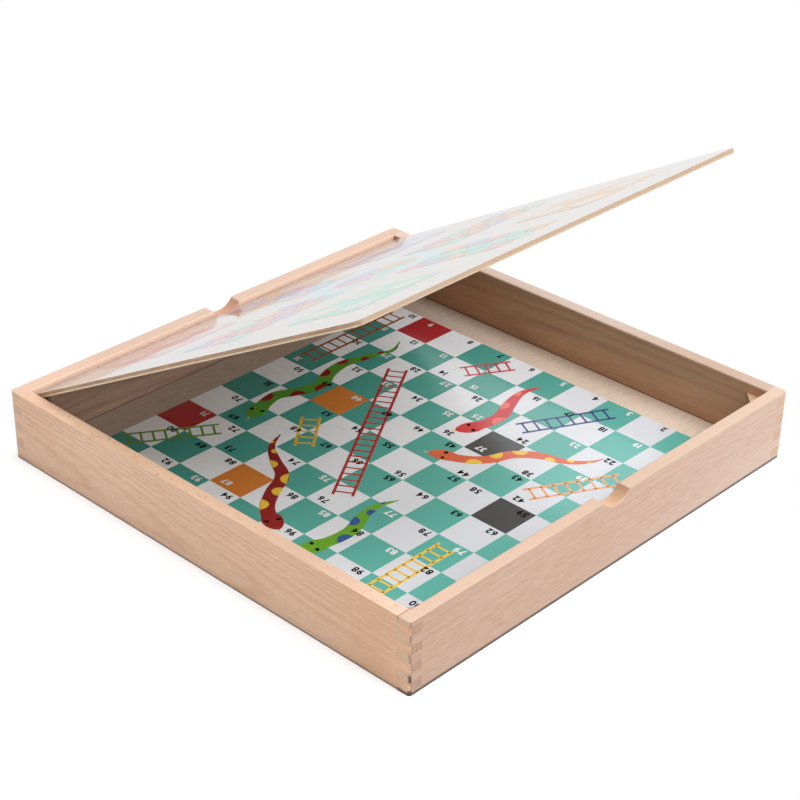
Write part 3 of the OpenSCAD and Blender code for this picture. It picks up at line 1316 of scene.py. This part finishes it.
@dataclass
class Woodwork:
    """Finishes of the solids that stay: walls, posts, floor panel, lid panel and its backing."""

    nodes: dict[str, Piece]
    hinge: Vector
    tilt: float
    fingers: int = 8
    lid_panel_t: float = 3.2 * MM
    film_t: float = 0.2 * MM

    # Height and strength of the painted contact shadow at a wall's foot: deeper on the near side walls
    DARK_FOOT = (3.4 * MM, 0.95)
    PLAIN_FOOT = (2.6 * MM, 0.6)
    NO_SEAM = 1.0

    def joint_marks(self, along: int, near_end: int) -> JointMarks:
        """Returns the marks of a wall.

        Args:
            along: Axis of the wall's length, 0 for X and 1 for Y.
            near_end: End of the wall with the open seam and the nicks, -1 or 1, or 0 for none.

        Returns:
            The marks, with their sizes from the frame.
        """
        wall_low, wall_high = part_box("right_wall")
        finger = wall_high.z / self.fingers
        seam_from = self.NO_SEAM if along else wall_high.z - finger / 2
        foot = self.DARK_FOOT if along and near_end else self.PLAIN_FOOT
        return JointMarks(along, near_end, 1 - 2 * along, wall_low.x, wall_high.x, finger, seam_from,
                          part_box("floor_panel")[1].z, *foot)

    def finishes(self) -> dict[str, WoodFinish | PlyFinish | PrintFinish]:
        """Lists each solid's finish.

        Returns:
            Finishes by the name of the node.
        """
        posts = [name for name in self.nodes if name.startswith("post_")]
        return {
            # All walls are one beech: each wall's pale and dark tones are partly its own board's tone and
            # partly painted light and shade for how light falls on that side
            "front_wall": WoodFinish(
                "beech_front", Grain.ALONG_X, (0.03, -0.125, 0.012), end="886e59", end_share=(0.75, 1.0),
                ring=1.7 * MM, rings_share=0.3, drift=0.3, end_shade=0.35, rim="deba9e", rim_end="b89b8a",
                rim_start="b18d77", speckle=0.45, marks=self.joint_marks(0, 1)),
            "right_wall": WoodFinish(
                "beech_right", Grain.ALONG_Y, (0.0, -0.15, 0.075), "b69e8e", "a27e67", "e2bb9b",
                end_share=(0.8, 1.0), lean=(0.0, 0.006, 0.01), rings_share=0.16, drift=-1.6, rim="b79c8a",
                rim_end="ab927f", rim_run=(-0.1, 0.05), notch="b08a6c", marks=self.joint_marks(1, -1)),
            "back_wall": WoodFinish(
                "beech_back", Grain.ALONG_X, (0.0, 0.12, 0.02), "d09f7c", "ae8264", drift=-2.4, rim="ac9c90",
                rim_end="9b8371", rim_run=(0.02, 0.15), marks=self.joint_marks(0, 0)),
            "left_wall": WoodFinish(
                "beech_left", Grain.ALONG_Y, (0.0, 0.13, 0.035), "d9baa6", "ae8c77", "e4bb9c", rim="b99a85",
                rim_end="aa9180", rim_run=(-0.18, -0.08), lip="d9b7a3", notch="a4765c",
                marks=self.joint_marks(1, 0)),
            "floor_panel": WoodFinish(
                "floor_lacquer", Grain.ALONG_Y, (0.0, 0.0, -0.3), "d1c1b2", "cebdac", ray="cbb9a7",
                rings_share=0.2, shade_at_left=0.18, relief=0.06, roughness=0.3, coat=0.6),
            "lid_panel": PlyFinish("lid_ply", tuple(self.hinge), self.tilt, -self.film_t - self.lid_panel_t),
            "lid_backing": PrintFinish("lid_backing_sheet", "b5a288", coat_roughness=0.25),
            # Posts painted dark: painted shade in the tray's inner corners
            **{name: WoodFinish(f"beech_{name}", Grain.ALONG_Z, (0.0, 0.1, 0.13), "b08a70", "94705a")
               for name in posts},
        }

    def build(self) -> list[Piece]:
        """Dresses the solids and returns them."""
        return [Bench.dress(self.nodes[name], finish.material()) for name, finish in self.finishes().items()]


@dataclass(frozen=True)
class Lamp:
    """Round soft white lamp aimed at the tray."""

    name: str
    place: Triple
    size: float
    power: float
    aim: Triple = (0.0, 0.0, 0.05)

    def hang(self) -> None:
        """Hangs the lamp."""
        Bench.clear()
        bpy.ops.object.light_add(type="AREA", location=self.place)
        lamp = bpy.context.object
        lamp.name = f"lamp_{self.name}"
        lamp.data.shape = "DISK"
        lamp.data.size = self.size
        lamp.data.energy = self.power
        lamp.rotation_euler = (Vector(self.aim) - lamp.location).to_track_quat("-Z", "Y").to_euler()


@dataclass
class Studio:
    """White floor, soft light and the camera at the photograph's place."""

    eye: Triple = (0.8317, -0.8816, 0.7440)
    azimuth: float = 43.35
    elevation: float = 29.86
    roll: float = 0.88
    lens: float = 86.14
    sensor: float = 36.0
    floor_side: float = 12.0
    floor_grey: Rgba = (0.8, 0.8, 0.8, 1.0)
    foot_grey: Rgba = (0.6, 0.6, 0.6, 1.0)
    ambient: float = 0.016
    glow_at_foot: float = 0.42
    foot_reach: Spot = (0.199, 0.214)
    lamps: tuple[Lamp, ...] = (
        Lamp("overhead", (0.0, 0.0, 2.0), 2.0, 35.2),
        Lamp("right", (1.35, 0.15, 1.35), 1.2, 26.7),
        Lamp("right_back", (1.3, 0.6, 1.35), 1.2, 11.8),
        Lamp("back", (0.0, 1.7, 1.2), 1.2, 14.2),
        Lamp("back_high", (0.2, 1.0, 1.7), 1.2, 9.4),
        Lamp("front_left", (-0.9, -1.0, 1.6), 1.2, 9.0),
    )

    def camera(self) -> None:
        """Sets the camera."""
        turn = Euler((math.radians(90.0 - self.elevation), 0.0, math.radians(self.azimuth)))
        aim = turn.to_matrix() @ Matrix.Rotation(math.radians(self.roll), 3, "Z")
        bpy.ops.object.camera_add(location=self.eye, rotation=aim.to_euler())
        camera = bpy.context.object
        camera.data.lens = self.lens
        camera.data.sensor_width = self.sensor
        bpy.context.scene.camera = camera

    def floor(self) -> None:
        """Lays the floor, which shows as plain white but keeps the object's shadow at its foot."""
        Bench.clear()
        bpy.ops.mesh.primitive_plane_add(size=self.floor_side)
        floor = bpy.context.object
        floor.name = "studio_floor"
        graph = Graph(bpy.data.materials.new("studio_white"))
        graph.tree.nodes.remove(graph.tree.nodes["Principled BSDF"])
        lit, shaded = (graph.node("BsdfDiffuse", {"Color": grey})[0]
                       for grey in (self.floor_grey, self.foot_grey))
        glow = graph.node("Emission", {"Strength": self.glow_at_foot})[0]
        at_foot = graph.node("AddShader", {0: shaded, 1: glow})[0]
        white = graph.node("Emission", {"Strength": 1.0})[0]
        across, along, _ = graph.split(graph.place)
        away = graph.math("MAXIMUM", graph.math("ABSOLUTE", across), graph.math("ABSOLUTE", along))
        away = graph.remap(away, *self.foot_reach)
        shown = graph.node("MixShader", {0: away, 1: at_foot, 2: white})[0]
        both = graph.node("MixShader", {0: graph.seen(), 1: lit, 2: shown})[0]
        graph.feed(graph.tree.nodes["Material Output"].inputs["Surface"], both)
        Bench.dress(floor, graph.owner)

    def world(self) -> None:
        """Sets a white surround that lights the object evenly."""
        world = bpy.data.worlds.new("studio_surround")
        bpy.context.scene.world = world
        graph = Graph(world)
        backdrop = graph.tree.nodes["Background"].inputs
        graph.feed(backdrop["Color"], "ffffff")
        graph.feed(backdrop["Strength"], graph.remap(graph.seen(), 0.0, 1.0, self.ambient, 1.0))

    def build(self) -> None:
        """Sets up the studio."""
        self.camera()
        self.floor()
        self.world()
        for lamp in self.lamps:
            lamp.hang()
        bpy.context.scene.view_settings.view_transform = "Standard"


def main() -> None:
    """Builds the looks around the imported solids."""
    logging.basicConfig(level=logging.INFO, format="%(name)s: %(message)s")
    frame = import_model()
    joint = next(j for j in frame["joints"] if j["name"] == "lid_tilt")
    hinge, tilt = Vector(joint["pos_m"]), -math.radians(joint["range_deg"][0])
    lid_low, lid_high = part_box("lid_panel")
    Studio().build()
    pieces = Woodwork(frame["nodes"], hinge, tilt).build()
    pieces += FloorPrint(*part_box("floor_print")).build()
    pieces += LidPrint(hinge, tilt, lid_high.y - lid_low.y).build()
    for piece in pieces:
        mesh = piece.data
        LOG.info("%s: %d faces, %d materials", piece.name, len(mesh.polygons), len(mesh.materials))


if __name__ == "__main__":
    main()
